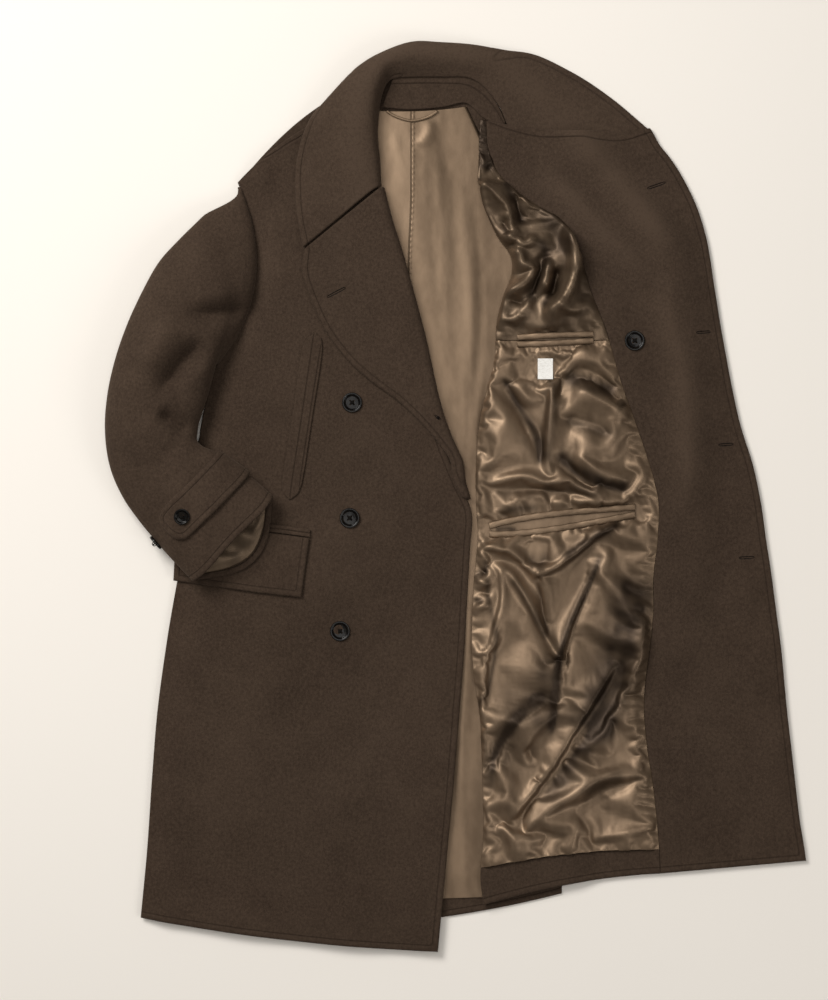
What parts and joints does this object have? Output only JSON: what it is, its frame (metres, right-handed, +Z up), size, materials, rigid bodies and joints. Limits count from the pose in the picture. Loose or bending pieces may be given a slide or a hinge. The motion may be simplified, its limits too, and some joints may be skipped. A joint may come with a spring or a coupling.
{
  "type": "mackinaw coat",
  "caption": "Long double-breasted wool overcoat laid flat on its back, one front opened out to show its facing and satin lining.",
  "frame": {"origin": "middle of the laid coat's outline, on the surface it lies on", "axes": "+Y from the hem towards the collar, +Z up from the surface, +X towards the opened-out left front"},
  "size_m": [0.8737, 1.1356, 0.0627],
  "materials": {
    "wool": "matt brushed melton with a short nap",
    "satin": "bright satin weave",
    "button": "polished black",
    "label": "matt white tape, bare"
  },
  "bodies": {
    "root": {"back_panel": "wool", "back_lining": "satin", "front_right": "wool", "lapel_right": "wool", "collar": "wool", "collar_stand": "wool", "front_left": "wool", "facing_left": "wool", "sleeve_lining_left": "satin", "front_lining_left": "satin", "hem_band_left": "wool", "sleeve_left": "wool", "sleeve_right": "wool", "sleeve_lining_right": "satin", "cuff_strap_right": "wool", "pocket_flap_right": "wool", "pocket_jet_right": "wool", "hand_welt_right": "wool", "inner_pocket_upper_top": "satin", "inner_pocket_upper_low": "satin", "inner_pocket_lower_top": "satin", "inner_pocket_lower_low": "satin", "care_label": "label", "hanger_loop": "satin", "front_button_1": "button", "front_button_2": "button", "front_button_3": "button", "jigger_button": "button", "cuff_button_1": "button", "cuff_button_2": "button"}
  },
  "joints": []
}
